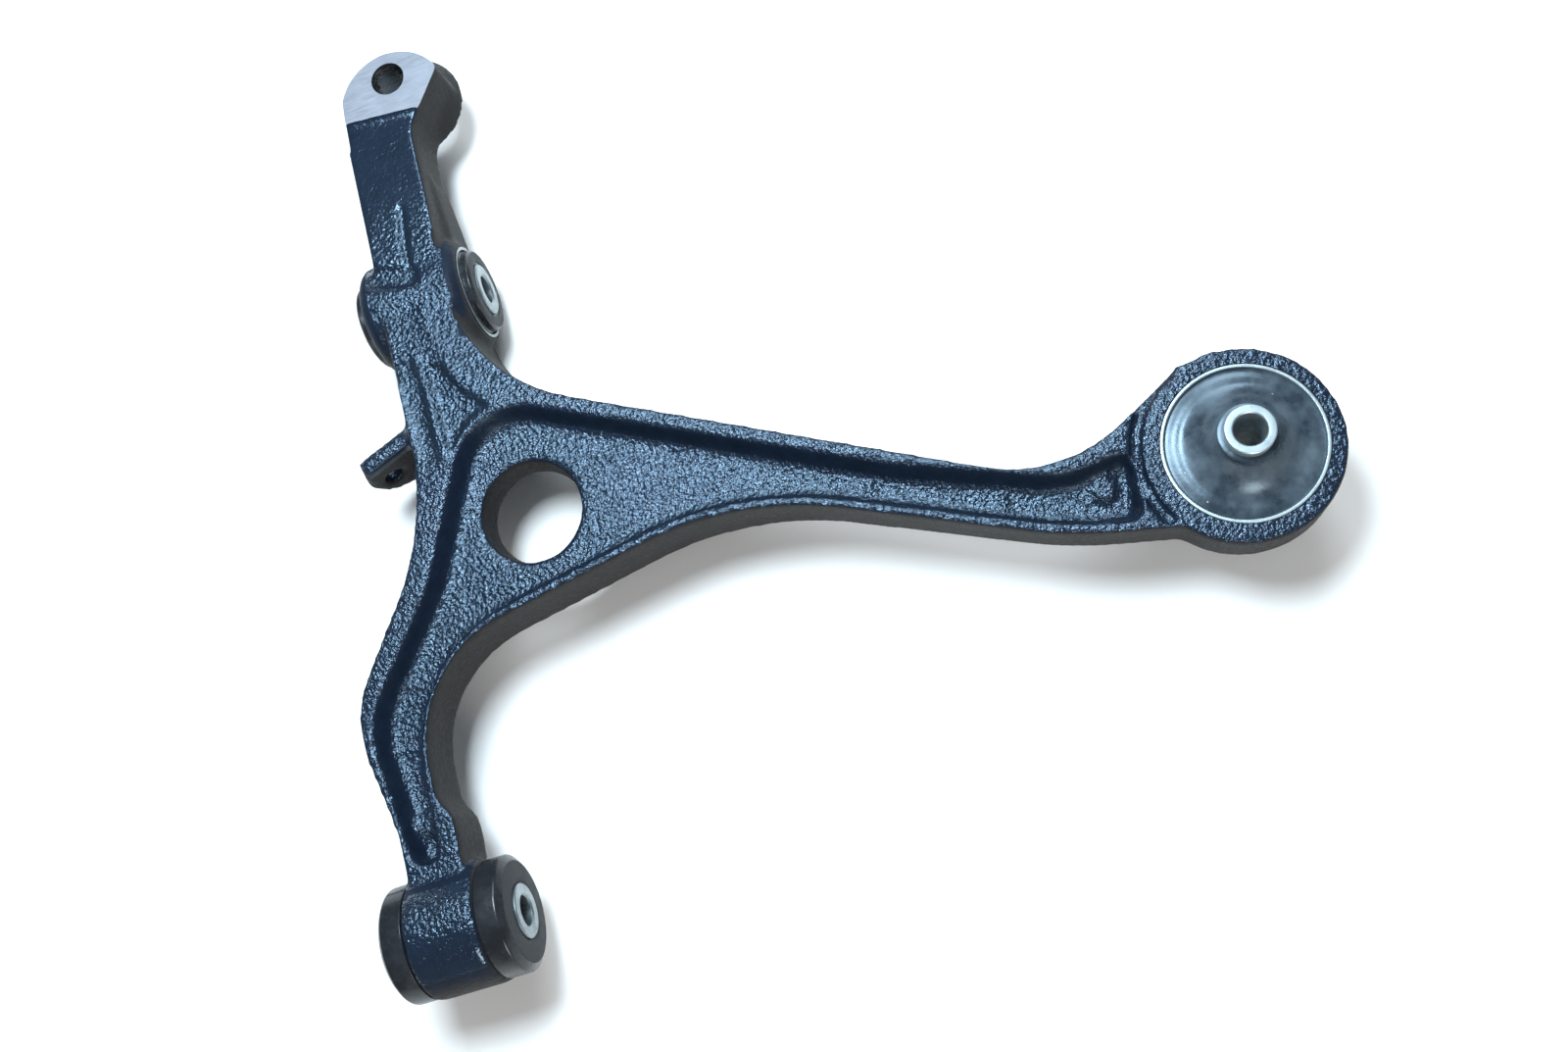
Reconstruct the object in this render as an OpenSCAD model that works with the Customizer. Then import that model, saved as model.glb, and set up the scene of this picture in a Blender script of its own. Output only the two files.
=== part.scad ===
// Lower control arm for a car's front suspension: one cast arm that carries
// two cross-bolted rubber bushes and one upright, liquid-filled bush.
// Origin: centre of the pivot bush. +X along its bolt, +Y towards the
// ball-joint end, +Z out of the ribbed face.

/* [Arm casting] */
// Thickness of the arm between its two faces
arm_t = 27; // [25:0.5:29]
// Depth of the pocket in each face
pocket_d = 8.5; // [6:0.5:9.5]
// Diameter of the lightening hole at the visible face of the web
web_hole_d = 43.8; // [41:0.2:44.4]
// Diameter of the lightening hole at the far side
web_hole_low_d = 40.4; // [38:0.2:41]
// Extra depth of the arm's far side under the web
web_drop = 6; // [3:0.5:7]
// Width of the collar round the lightening hole
web_collar_w = 5; // [3:0.5:6]

/* [Ball joint end] */
// Diameter of the tapered hole where it meets the machined face
taper_small_d = 15.6; // [15:0.1:16.2]
// Diameter of the tapered hole at the far face
taper_big_d = 18.4; // [17.8:0.1:19]
// Diameter of the round boss at the far face
ball_boss_d = 50; // [46:0.5:52]

/* [Pivot bush] */
// Outer diameter of the arm's eye
pivot_eye_d = 49; // [47:0.5:51]
// Length of the arm's eye
pivot_eye_l = 31; // [29:0.5:33]
// Outer diameter of the pressed-in steel sleeve
pivot_sleeve_d = 41; // [40:0.5:42]
// Diameter of the rubber shoulder at each end
pivot_shoulder_d = 47; // [45:0.5:48]
// Distance over the two rubber ends
pivot_rubber_l = 53.5; // [51:0.5:54]
// Outer diameter of the inner sleeve
pivot_inner_d = 22; // [20:0.5:24]
// Length of the inner sleeve
pivot_inner_l = 55; // [54:0.5:57]

/* [Fork bush] */
// Outer diameter of the arm's eye
fork_eye_d = 51; // [50:0.5:53]
// Length of the arm's eye
fork_eye_l = 41; // [38:0.5:42]
// Outer diameter of the pressed-in steel sleeve
fork_sleeve_d = 43; // [42:0.5:44]
// Length of the pressed-in steel sleeve
fork_sleeve_l = 47; // [45:0.5:48]
// Diameter of the rubber nose at each end
fork_nose_d = 38; // [33:0.5:38.5]
// Outer diameter of the inner sleeve
fork_inner_d = 23; // [22:0.5:24]
// Length of the inner sleeve
fork_inner_l = 56; // [55:0.5:58]

/* [Compliance bush] */
// Outer diameter of the arm's eye
comp_eye_d = 76.5; // [75:0.5:78]
// Height of the arm's eye
comp_eye_h = 24; // [23:0.5:26]
// Outer diameter of the pressed-in steel sleeve
comp_sleeve_d = 62.6; // [62:0.1:63.2]
// Height of the pressed-in steel sleeve
comp_sleeve_h = 34; // [33:0.5:36]
// Outer diameter of the inner sleeve
comp_inner_d = 18.7; // [18:0.1:19.4]
// Height of the inner sleeve above the arm's upper face
comp_inner_up = 18.3; // [17:0.1:20]
// Length of the inner sleeve
comp_inner_l = 66; // [64:0.5:70]

/* [Bolts] */
// Bolt hole of the pivot and compliance bushes
bolt_hole_d = 12.3; // [12.1:0.1:12.6]
// Bolt hole of the fork bush
fork_hole_d = 12.5; // [12.1:0.1:12.9]
// Hole in the side lug
lug_hole_d = 8.4; // [8:0.1:9]

/* [Hidden] */
$fn = 96;

// Clearance between the bonded rubber and the part that turns in it
bond_gap = 0.03;
// Overrun that keeps cuts clear of the faces they leave
over = 1;
// Length of a cutter, or of the stock an outline is cut from, that passes
// right through a bush
through = 120;
// Length of the stock over the whole arm
arm_reach = 460;

arm_top = arm_t / 2 - 0.5;
arm_bottom = arm_top - arm_t;
web_top = arm_top - pocket_d;
web_bottom = arm_bottom + pocket_d;
web_low = arm_bottom - web_drop;
// The collar round the lightening hole stops short of the far face
collar_low = arm_bottom + 3;
// Underside of the ball-joint boss
ball_low = -15;
// The web and the neck overlap between these two distances along Y
web_end = 210;
neck_start = 188;

comp_at = [347, 88.3];
ball_at = [54.2, 369.6];
web_hole_at = [69, 155.8];
fork_at = [41, 267, -11];
lug_at = [5, 193, arm_top - 3];
// The compliance eye is cast a little nearer the arm than its bore
comp_eye_at = comp_at + [-1.2, -0.3];
lug_turn = 20;
lug_t = 7.5;
lug_hole_at = [4.8, -16.9];
pad_at = [[-3, 43.5], [293, 89.4]];
pad_d = 10;
pad_h = 1.2;

comp_low = arm_top - comp_sleeve_h;
comp_inner_low = arm_top + comp_inner_up - comp_inner_l;

// ---- Plan shapes -------------------------------------------------------

function unit(v) = v / norm(v);

// Points along an arc round centre c from angle a0 to a1
function arc(c, r, a0, a1, n = 16) =
    [for (i = [0:n]) let (a = a0 + (a1 - a0) * i / n)
        [c[0] + r * cos(a), c[1] + r * sin(a), 0]];

// Points that round corner b, between a and c, with radius b[2]
function rounded_corner(a, b, c, n = 12) =
    let (p = [b[0], b[1]],
         u = unit([a[0], a[1]] - p),
         v = unit([c[0], c[1]] - p),
         half = acos(u * v) / 2,
         t = b[2] / tan(half),
         m = p + unit(u + v) * b[2] / sin(half),
         s = p + u * t - m,
         e = p + v * t - m,
         a0 = atan2(s[1], s[0]),
         turn = atan2(s[0] * e[1] - s[1] * e[0], s * e))
    [for (i = [0:n]) m + b[2] * [cos(a0 + turn * i / n),
                                 sin(a0 + turn * i / n)]];

// A closed outline from corners [x, y, radius]
function rounded_outline(k) =
    let (n = len(k))
    [for (i = [0:n - 1])
        each (k[i][2] == 0 ? [[k[i][0], k[i][1]]]
            : rounded_corner(k[(i + n - 1) % n], k[i], k[(i + 1) % n]))];

// The arm seen from above, anticlockwise from the pivot eye's right side
arm_corners = concat(
    [[10.5, -4, 0], [10.5, 28, 4], [11.5, 33, 5], [10.8, 43, 6], [6, 51, 12],
     [6, 107, 50],
     [155.7, 131.8, 140], [274.5, 74.4, 160], [335, 60, 0], [335, 126, 0],
     [279.5, 96.1, 58], [54.5, 220.6, 79], [59, 300, 60], [59.8, 343, 12]],
    arc([54.3, 357], 25.3, 23, 157),
    [[28.5, 340, 40], [26.6, 244, 80], [26.5, 162, 110], [-23.4, 93, 44],
     [-13.5, 41, 60], [-13.5, -4, 0]]);

// The pocket between the rims, anticlockwise from its end by the pivot eye
pocket_corners =
    [[2, 28, 4], [1.5, 110.7, 59.5], [155.7, 136.5, 145],
     [276, 79, 150], [302, 73, 4], [307, 100, 5], [283, 94, 50],
     [215, 123.7, 150], [57.5, 208.4, 27], [22.5, 136, 60],
     [-15.3, 88, 34], [-8, 28, 4]];

// The end of the arm beyond the web seen from the side, as [y, z]: it deepens
// round the fork bush
side_corners =
    [[neck_start, arm_top, 0], [neck_start, web_low, 0], [205, web_low, 20],
     [236, -31, 25], [267, -38, 40], [294, -33, 22], [314, ball_low, 25],
     [390, ball_low, 0], [390, arm_top, 0]];

// The web and the two legs seen from the front, as [x, z]: the far side drops
// under the web and rises towards the compliance eye
front_corners =
    [[-40, arm_top, 0], [-40, arm_bottom, 0], [8, arm_bottom, 40],
     [40, web_low, 40], [150, web_low + 1, 200],
     [270, arm_bottom + 1.5, 200], [400, arm_bottom + 2, 0],
     [400, arm_top, 0]];

// ---- Helpers -----------------------------------------------------------

module along_x() { rotate([0, 90, 0]) children(); }

module at_fork() {
    translate(fork_at) along_x() children();
}

module at_comp(z = 0) { translate([comp_at[0], comp_at[1], z]) children(); }

module tube(od, id, h) {
    difference() {
        cylinder(d = od, h = h, center = true);
        cylinder(d = id, h = h + 2 * over, center = true);
    }
}

// A sleeve with its bore eased at both ends
module bolt_sleeve(od, id, h, ease = 0.6) {
    rotate_extrude()
        polygon([[id / 2, -h / 2 + ease], [id / 2 + ease, -h / 2],
                 [od / 2 - ease, -h / 2], [od / 2, -h / 2 + ease],
                 [od / 2, h / 2 - ease], [od / 2 - ease, h / 2],
                 [id / 2 + ease, h / 2], [id / 2, h / 2 - ease]]);
}

// ---- The cast arm ------------------------------------------------------

module arm_plan() {
    intersection() {
        translate([0, 0, -through / 2]) linear_extrude(through)
            polygon(rounded_outline(arm_corners));
        union() {
            translate([-through / 2, 0, 0]) rotate([90, 0, 90])
                linear_extrude(arm_reach)
                    polygon(rounded_outline(side_corners));
            translate([0, web_end, 0]) rotate([90, 0, 0])
                linear_extrude(web_end + 10)
                    polygon(rounded_outline(front_corners));
        }
    }
}

module pocket(z0, z1) {
    translate([0, 0, z0]) linear_extrude(z1 - z0)
        polygon(rounded_outline(pocket_corners));
}

// Low pads left by the ejector pins
module pads() {
    for (p = pad_at)
        translate([p[0], p[1], web_top - over])
            cylinder(d = pad_d, h = pad_h + over);
}

module web_collar() {
    translate([web_hole_at[0], web_hole_at[1], collar_low])
        cylinder(d = web_hole_d + 2 * web_collar_w, h = web_top - collar_low);
}

module web_hole() {
    rise = web_top - collar_low;
    grow = (web_hole_d - web_hole_low_d) / rise;
    translate([web_hole_at[0], web_hole_at[1], collar_low - over])
        cylinder(d1 = web_hole_low_d - grow * over,
                 d2 = web_hole_d + grow * over, h = rise + 2 * over);
}

module lug() {
    translate(lug_at) rotate([90, 0, lug_turn]) translate([0, 0, -lug_t])
        linear_extrude(lug_t)
            polygon(rounded_outline([[-1.3, 0, 2], [-6.3, -15, 5], [-1, -28.5, 6],
                                     [10, -34, 8], [26, -34, 0],
                                     [26, 0, 0]]));
}

module lug_hole() {
    translate(lug_at) rotate([90, 0, lug_turn])
        translate([lug_hole_at[0], lug_hole_at[1], -lug_t - over])
            cylinder(d = lug_hole_d, h = lug_t + 2 * over);
}

// The boss round the tapered hole widens towards the far face
module ball_boss() {
    translate([ball_at[0], ball_at[1], ball_low])
        cylinder(d1 = ball_boss_d, d2 = ball_boss_d / 2, h = arm_top - ball_low);
}

module taper_hole() {
    deep = arm_top - ball_low;
    grow = (taper_big_d - taper_small_d) / 2 / deep;
    translate([ball_at[0], ball_at[1], ball_low - over])
        cylinder(r1 = taper_big_d / 2 + grow * over,
                 r2 = taper_small_d / 2 - grow * over, h = deep + 2 * over);
}

module arm_casting() {
    color([0.11, 0.15, 0.22]) difference() {
        union() {
            difference() {
                arm_plan();
                pocket(web_top, arm_top + over);
                pocket(web_low - over, web_bottom);
            }
            pads();
            web_collar();
            lug();
            ball_boss();
            along_x() cylinder(d = pivot_eye_d, h = pivot_eye_l, center = true);
            at_fork() cylinder(d = fork_eye_d, h = fork_eye_l, center = true);
            translate([comp_eye_at[0], comp_eye_at[1], arm_top - comp_eye_h])
                cylinder(d = comp_eye_d, h = comp_eye_h);
        }
        along_x() cylinder(d = pivot_sleeve_d, h = through, center = true);
        at_fork() cylinder(d = fork_sleeve_d, h = through, center = true);
        at_comp(-through / 2) cylinder(d = comp_sleeve_d, h = through);
        web_hole();
        taper_hole();
        lug_hole();
    }
}

// ---- Pivot bush --------------------------------------------------------

pivot_sleeve_wall = 1.5;

module pivot_outer_sleeve() {
    color("silver") along_x()
        tube(pivot_sleeve_d, pivot_sleeve_d - 2 * pivot_sleeve_wall, pivot_eye_l);
}

module pivot_rubber() {
    inner = pivot_inner_d / 2 + bond_gap;
    core = pivot_sleeve_d / 2 - pivot_sleeve_wall;
    edge = 1.2;
    end = pivot_rubber_l / 2;
    shoulder = pivot_shoulder_d / 2;
    color([0.06, 0.06, 0.07]) along_x() rotate_extrude()
        polygon([[inner, -end], [shoulder - edge, -end],
                 [shoulder, -end + edge], [shoulder, -pivot_eye_l / 2],
                 [core, -pivot_eye_l / 2], [core, pivot_eye_l / 2],
                 [shoulder, pivot_eye_l / 2], [shoulder, end - edge],
                 [shoulder - edge, end], [inner, end]]);
}

module pivot_inner_sleeve() {
    color("silver") along_x()
        bolt_sleeve(pivot_inner_d, bolt_hole_d, pivot_inner_l);
}

// ---- Fork bush ---------------------------------------------------------

fork_sleeve_wall = 1.8;

module fork_outer_sleeve() {
    color("silver") at_fork()
        tube(fork_sleeve_d, fork_sleeve_d - 2 * fork_sleeve_wall, fork_sleeve_l);
}

module fork_rubber() {
    inner = fork_inner_d / 2 + bond_gap;
    core = fork_sleeve_d / 2 - fork_sleeve_wall;
    nose = fork_nose_d / 2;
    land = fork_sleeve_l / 2 - 3;
    end = fork_inner_l / 2 - 0.4;
    edge = 1;
    color([0.06, 0.06, 0.07]) at_fork() rotate_extrude()
        polygon([[inner, -end], [nose - edge, -end], [nose, -end + edge],
                 [nose, -land - 2], [core, -land], [core, land],
                 [nose, land + 2], [nose, end - edge],
                 [nose - edge, end], [inner, end]]);
}

module fork_inner_sleeve() {
    color("silver") at_fork()
        bolt_sleeve(fork_inner_d, fork_hole_d, fork_inner_l, 0.7);
}

// ---- Compliance bush ---------------------------------------------------

comp_wall = 1.8;
window_wall = 1.2;
window_w = 30;
window_h = 10;
window_sleeve_h = comp_sleeve_h - 8;
orifice_half_h = 7;
orifice_w = 3.8;
orifice_groove = 1.6;
orifice_split = 0.1;
comp_mid = arm_top - comp_sleeve_h / 2;
can_r = comp_sleeve_d / 2 - comp_wall;
window_r = can_r - window_wall;
orifice_r = window_r - orifice_w;
stop_r = 17;
comp_inner_r = comp_inner_d / 2;
// The rubber's two dishes: how far each climbs the inner sleeve, and its seat
dish_rise = 14.5;
dish_seat = orifice_half_h + 0.3;
dish_collar_t = 1.6;
// Width of the two walls that part the liquid chambers
dam_w = 12;

module compliance_outer_sleeve() {
    lip = 2.2;
    r = comp_sleeve_d / 2;
    color("silver") at_comp() rotate_extrude()
        polygon([[can_r, comp_low + comp_wall], [can_r - lip, comp_low + comp_wall],
                 [can_r - lip, comp_low], [r - 1, comp_low],
                 [r, comp_low + 1], [r, arm_top - 0.4],
                 [r - 0.4, arm_top], [can_r, arm_top]]);
}

// Steel cage inside the rubber, with two windows to the liquid chambers
module compliance_window_sleeve() {
    color("silver") at_comp(comp_mid) difference() {
        tube(2 * can_r, 2 * window_r, window_sleeve_h);
        for (s = [-1, 1]) translate([0, s * can_r, 0])
            cube([window_w, can_r / 2, window_h], center = true);
    }
}

// Half of the ring that holds the liquid's transfer channel
module orifice_half(side) {
    floor_r = window_r - orifice_groove;
    groove_half = 2.5;
    color([0.75, 0.75, 0.72]) at_comp(comp_mid) intersection() {
        rotate_extrude() polygon([
            [orifice_r, -orifice_half_h], [window_r, -orifice_half_h],
            [window_r, -groove_half], [floor_r, -groove_half],
            [floor_r, groove_half], [window_r, groove_half],
            [window_r, orifice_half_h], [orifice_r, orifice_half_h]]);
        translate([side * through / 2, 0, 0])
            cube([through - orifice_split, through, through], center = true);
    }
}

module compliance_orifice_half_inner() { orifice_half(-1); }

module compliance_orifice_half_outer() { orifice_half(1); }

// One end of the moulded rubber: a dish that climbs the inner sleeve
module rubber_dish() {
    inner = comp_inner_r + bond_gap;
    rise = comp_sleeve_h / 2;
    rotate_extrude()
        polygon(concat(
            [[inner, dish_seat], [window_r, dish_seat],
             [window_r, rise - 1.2], [window_r - 0.8, rise - 2]],
            [for (i = [0:14]) let (t = i / 14)
                [window_r - 2.5 - (window_r - 5 - inner) * t,
                 rise - 2 + dish_rise * pow(t, 3.2)]],
            [[inner + dish_collar_t, rise + dish_rise - 1.1],
             [inner, rise + dish_rise - 1.1]]));
}

module compliance_rubber() {
    color([0.13, 0.16, 0.19]) at_comp(comp_mid) {
        rubber_dish();
        mirror([0, 0, 1]) rubber_dish();
        for (s = [-1, 1]) intersection() {
            tube(2 * orifice_r - 0.2, 2 * stop_r + 0.2, 2 * dish_seat);
            translate([s * orifice_r, 0, 0])
                cube([orifice_r, dam_w, 2 * dish_seat], center = true);
        }
    }
}

// Stopper bonded to the inner sleeve inside the liquid chamber
module compliance_bump_stop() {
    color([0.2, 0.2, 0.2]) at_comp(comp_mid)
        tube(2 * stop_r, comp_inner_d, 2 * orifice_half_h - 1);
}

module compliance_inner_sleeve() {
    color("silver") at_comp(comp_inner_low + comp_inner_l / 2)
        bolt_sleeve(comp_inner_d, bolt_hole_d, comp_inner_l, 0.5);
}

arm_casting();
pivot_outer_sleeve();
pivot_rubber();
pivot_inner_sleeve();
fork_outer_sleeve();
fork_rubber();
fork_inner_sleeve();
compliance_outer_sleeve();
compliance_window_sleeve();
compliance_rubber();
compliance_orifice_half_inner();
compliance_orifice_half_outer();
compliance_bump_stop();
compliance_inner_sleeve();
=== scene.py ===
"""Finished look of a cast lower control arm, built round its engineering model."""

import math

import bpy
from bpy.props import FloatProperty, FloatVectorProperty, IntProperty, PointerProperty
from bpy.types import Operator, Panel, PropertyGroup
from mathutils import Matrix, Vector


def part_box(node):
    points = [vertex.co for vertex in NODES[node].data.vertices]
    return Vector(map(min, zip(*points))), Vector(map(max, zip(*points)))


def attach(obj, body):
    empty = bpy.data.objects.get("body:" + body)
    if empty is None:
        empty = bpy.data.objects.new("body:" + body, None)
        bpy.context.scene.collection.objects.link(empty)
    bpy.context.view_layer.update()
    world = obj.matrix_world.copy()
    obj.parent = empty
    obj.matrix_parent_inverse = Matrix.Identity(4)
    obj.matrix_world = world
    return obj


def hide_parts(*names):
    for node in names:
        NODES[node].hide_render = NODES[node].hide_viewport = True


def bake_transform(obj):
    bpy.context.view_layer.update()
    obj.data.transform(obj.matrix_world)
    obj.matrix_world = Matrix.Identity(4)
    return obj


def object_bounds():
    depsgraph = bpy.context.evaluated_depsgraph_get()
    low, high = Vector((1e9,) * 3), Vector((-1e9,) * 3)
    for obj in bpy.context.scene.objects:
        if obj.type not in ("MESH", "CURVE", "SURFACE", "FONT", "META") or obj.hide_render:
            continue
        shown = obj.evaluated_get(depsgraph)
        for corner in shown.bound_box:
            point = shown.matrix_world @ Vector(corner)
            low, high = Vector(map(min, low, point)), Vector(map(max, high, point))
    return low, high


bl_info = {
    "name": "Control Arm",
    "version": (1, 0, 0),
    "blender": (4, 5, 0),
    "location": "View3D > Sidebar > Control Arm",
    "description": "Builds the cast arm, its three rubber bushes and a plain studio",
    "category": "Object",
}

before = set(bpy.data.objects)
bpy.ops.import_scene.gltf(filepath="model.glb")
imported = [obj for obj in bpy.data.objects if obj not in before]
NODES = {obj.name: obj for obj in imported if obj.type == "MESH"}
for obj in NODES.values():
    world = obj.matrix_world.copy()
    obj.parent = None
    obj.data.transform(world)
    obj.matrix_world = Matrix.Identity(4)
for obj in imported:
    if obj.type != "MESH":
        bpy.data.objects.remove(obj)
CAD_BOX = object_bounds()
MM = 0.001


# ---- Places taken from the frame ------------------------------------------


def node_middle(node):
    low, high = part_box(node)
    return (low + high) / 2


def node_size(node):
    low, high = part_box(node)
    return high - low


PIVOT_AT = node_middle("pivot_inner_sleeve")
FORK_AT = node_middle("fork_inner_sleeve")
EYE_AT = node_middle("compliance_outer_sleeve")
CORE_AT = node_middle("compliance_inner_sleeve")
ARM_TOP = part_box("compliance_outer_sleeve")[1].z
BALL_AT = Vector((0.0542, 0.3696, ARM_TOP))

# Radii in mm: the bolt holes in the sleeves, and the ball-joint taper's far end and milled end
PIVOT_BOLT = 6.15
FORK_BOLT = 6.25
COMPLIANCE_BOLT = 6.15
TAPER_FAR = 9.3
TAPER_NEAR = 7.7


# ---- Settings -------------------------------------------------------------


def length(name, description, millimetres):
    return FloatProperty(
        name=name, description=description, default=millimetres * MM, unit="LENGTH", precision=4
    )


def colour(name, description, rgb):
    return FloatVectorProperty(
        name=name, description=description, default=rgb, size=3, min=0, max=1, subtype="COLOR"
    )


class CastingSettings(PropertyGroup):
    """Sizes of the cast arm's surface."""

    voxel: length("Voxel", "Grid that the casting's skin is rebuilt on", 1.3)
    web_depth: length("Web depth", "Depth of the pocket's floor below the arm's face", 8.5)
    draft: length("Draft", "Run of the pocket's sloping walls that face the pivot leg", 5.2)
    short_draft: length("Short draft", "Run of the pocket's steeper walls", 1.6)
    pebble_size: length("Pebble size", "Spacing of the sand-cast grain", 2.4)
    pebble_height: length("Pebble height", "Height of the sand-cast grain", 0.16)
    wave_size: length("Wave size", "Spacing of the slow unevenness", 9)
    wave_height: length("Wave height", "Height of the slow unevenness", 0.22)
    edge_passes: IntProperty(name="Edge passes", description="Rounding of every cast edge", default=7)
    paint: colour("Paint", "Blue-black paint on the faces", (0.0045, 0.0085, 0.017))
    # The side colour is painted shade and reflection: cast_film gives it to steep faces by the way they
    # face.
    side_shade_paint: colour("Side shade paint", "Painted shade: browner colour on the side walls", (0.0165, 0.0155, 0.0155))
    bare_iron: colour("Bare iron", "Machined face at the ball joint", (0.27, 0.285, 0.325))


class BushSettings(PropertyGroup):
    """Sizes and colours of the three bushes."""

    segments: IntProperty(name="Segments", description="Facets round a turned piece", default=128)
    rubber: colour("Black rubber", "Rubber of the two cross bushes", (0.010, 0.011, 0.013))
    dish: colour("Dish rubber", "Rubber of the liquid-filled bush", (0.018, 0.026, 0.036))
    bloom: colour("Bloom", "Pale wax bloom on the dish", (0.085, 0.110, 0.130))
    zinc: colour("Zinc", "Zinc-plated steel", (0.50, 0.58, 0.61))


class StudioSettings(PropertyGroup):
    """Camera, floor and lights."""

    camera_at: FloatVectorProperty(
        name="Camera",
        description="Place of the camera",
        default=(0.2415, -0.0319, 0.5547),
        unit="LENGTH",
    )
    camera_turn: FloatVectorProperty(
        name="Turn",
        description="Rotation of the camera",
        default=tuple(math.radians(a) for a in (12.256, 11.293, -16.010)),
        subtype="EULER",
    )
    lens: FloatProperty(
        name="Lens", description="Focal length on a 36 mm sensor", default=32.83, unit="CAMERA"
    )
    floor: colour("Floor", "Pale floor", (0.96, 0.91, 0.86))


def settings():
    scene = bpy.context.scene
    return scene.arm_casting, scene.arm_bushes, scene.arm_studio


# ---- Modelling helpers ----------------------------------------------------


def deselect():
    if bpy.context.mode != "OBJECT":
        bpy.ops.object.mode_set(mode="OBJECT")
    bpy.ops.object.select_all(action="DESELECT")


def only(obj):
    deselect()
    obj.select_set(True)
    bpy.context.view_layer.objects.active = obj
    return obj


def edit(obj, mode="VERT"):
    only(obj)
    bpy.ops.object.mode_set(mode="EDIT")
    bpy.ops.mesh.select_mode(type=mode)
    bpy.ops.mesh.select_all(action="DESELECT")


def leave_edit():
    bpy.ops.object.mode_set(mode="OBJECT")


def pick_faces(obj, test):
    """Selects the faces whose centre and normal pass the test, and says how many there are."""
    bpy.ops.object.mode_set(mode="OBJECT")
    count = 0
    for face in obj.data.polygons:
        face.select = bool(test(face.center, face.normal))
        count += face.select
    bpy.ops.object.mode_set(mode="EDIT")
    return count


def settle(obj):
    """Puts the piece's place into its mesh and leaves the object at the origin."""
    only(obj)
    bpy.ops.object.transform_apply(location=True, rotation=True, scale=True)
    return obj


def modify(obj, kind, **values):
    """Adds a modifier and applies it."""
    only(obj)
    modifier = obj.modifiers.new(kind.title(), kind)
    for key, value in values.items():
        setattr(modifier, key, value)
    bpy.ops.object.modifier_apply(modifier=modifier.name)
    return obj


def cut(obj, cutter):
    modify(obj, "BOOLEAN", operation="DIFFERENCE", solver="MANIFOLD", object=cutter)
    bpy.data.objects.remove(cutter)
    return obj


def join(obj, others):
    only(obj)
    for other in others:
        other.select_set(True)
    bpy.ops.object.join()
    return obj


def outward(obj):
    edit(obj)
    bpy.ops.mesh.select_all(action="SELECT")
    bpy.ops.mesh.normals_make_consistent(inside=False)
    leave_edit()
    return obj


def smooth(obj, degrees=35):
    only(obj)
    bpy.ops.object.shade_smooth_by_angle(angle=math.radians(degrees))
    return obj


def finish_piece(obj, body, slot, *replaced):
    settle(obj)
    if body:
        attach(obj, body)
    if replaced:
        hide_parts(*replaced)
    return obj


def merged_copy(node, name):
    """A copy of a CAD node with its loose triangles joined up."""
    obj = bpy.data.objects.new(name, NODES[node].data.copy())
    obj.data.materials.clear()
    bpy.context.scene.collection.objects.link(obj)
    edit(obj)
    bpy.ops.mesh.select_all(action="SELECT")
    bpy.ops.mesh.remove_doubles(threshold=1e-6)
    leave_edit()
    return obj


def rod(name, radius, low, high, at, along="Z", top_radius=None, vertices=96):
    """A round bar or cone between two distances along one axis, used to plug or to cut."""
    deselect()
    bpy.ops.mesh.primitive_cone_add(
        vertices=vertices,
        radius1=radius,
        radius2=radius if top_radius is None else top_radius,
        depth=high - low,
        location=(0, 0, (low + high) / 2),
    )
    obj = bpy.context.active_object
    obj.name = name
    settle(obj)
    if along == "X":
        obj.rotation_euler = (0, math.pi / 2, 0)
    obj.location = at
    return settle(obj)


def slab(name, outline, low, high):
    """A flat plate with the given outline, in metres."""
    deselect()
    bpy.ops.mesh.primitive_circle_add(vertices=len(outline), radius=1, fill_type="NGON")
    obj = bpy.context.active_object
    obj.name = name
    for vertex, point in zip(obj.data.vertices, outline):
        vertex.co = (point[0], point[1], low)
    edit(obj)
    bpy.ops.mesh.select_all(action="SELECT")
    bpy.ops.mesh.extrude_region_move(TRANSFORM_OT_translate={"value": (0, 0, high - low)})
    leave_edit()
    return outward(obj)


def in_mm(points):
    return [(x * MM, y * MM) for x, y in points]


def round_corners(corners):
    """Points of a closed section from corners (radius, along, fillet), all in millimetres."""
    steps = 6
    points = []
    count = len(corners)
    for i, (r, z, fillet) in enumerate(corners):
        here = Vector((r, z))
        if fillet == 0:
            points.append(here)
            continue
        before = (Vector(corners[i - 1][:2]) - here).normalized()
        after = (Vector(corners[(i + 1) % count][:2]) - here).normalized()
        half = before.angle(after) / 2
        reach = fillet / math.tan(half)
        centre = here + (before + after).normalized() * fillet / math.sin(half)
        start = here + before * reach - centre
        end = here + after * reach - centre
        sweep = start.angle_signed(end)
        for step in range(steps + 1):
            turn = Matrix.Rotation(-sweep * step / steps, 2)
            points.append(centre + turn @ start)
    return points


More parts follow.
